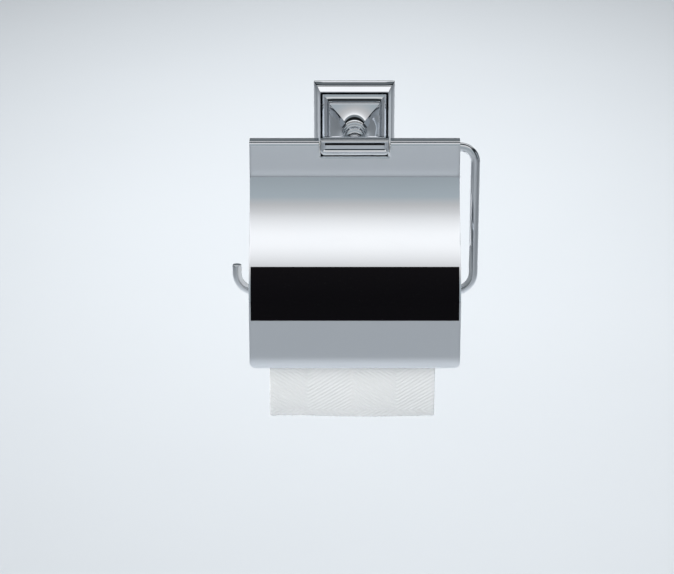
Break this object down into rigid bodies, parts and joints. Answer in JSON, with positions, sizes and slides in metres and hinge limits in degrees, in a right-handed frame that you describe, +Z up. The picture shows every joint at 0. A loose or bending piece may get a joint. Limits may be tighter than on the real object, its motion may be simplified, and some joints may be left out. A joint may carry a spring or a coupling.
{
  "type": "toilet paper holder",
  "caption": "Wall-mounted toilet paper holder with a square moulded rosette, open wire arm and a hinged S-curved cover with a black band, holding a roll of paper.",
  "frame": {"origin": "centre of the rosette on the wall plane", "axes": "+X along the arm to its bent leg's side, +Y into the wall, +Z up"},
  "size_m": [0.1504, 0.0997, 0.1884],
  "materials": {
    "chrome": "polished",
    "cover_chrome": "polished",
    "black_band": "gloss",
    "zinc": "zinc plated",
    "dark_steel": "blackened",
    "nylon": "satin",
    "rubber": "matt",
    "clear_rubber": "soft clear",
    "paper": "embossed tissue",
    "cardboard": "raw cardboard"
  },
  "bodies": {
    "mount": {"wall_plate": "zinc", "wall_gasket": "rubber", "rosette": "chrome", "rosette_grub_screw": "dark_steel", "flare": "chrome", "collar": "chrome", "neck": "chrome", "neck_stud": "zinc", "stud_nut": "zinc", "head_block": "chrome", "head_plaque": "chrome", "arm": "chrome", "arm_grub_screw": "dark_steel", "arm_end_cap": "nylon", "thrust_washer_left": "nylon", "thrust_washer_right": "nylon"},
    "lid": {"lid_sheet": "cover_chrome", "lid_band": "black_band", "hinge_plug_left_outer": "nylon", "hinge_plug_left_inner": "nylon", "hinge_plug_right_inner": "nylon", "hinge_plug_right_outer": "nylon", "lid_bumpers": "clear_rubber"},
    "tail": {"paper_tail": "paper"},
    "roll": {"paper_roll": "paper", "core_tube": "cardboard"}
  },
  "joints": [
    {"name": "lid_hinge", "type": "hinge", "parent": "mount", "child": "lid", "pos_m": [0, -0.053, -0.0016], "axis": [-1, 0, 0], "range_deg": [0, 72]},
    {"name": "roll_slide", "type": "slide", "parent": "mount", "child": "tail", "axis": [1, 0, 0], "range_m": [-0.008, 0.01]},
    {"name": "roll_spin", "type": "hinge", "parent": "tail", "child": "roll", "pos_m": [0, -0.053, -0.11145], "axis": [1, 0, 0], "continuous": true}
  ]
}
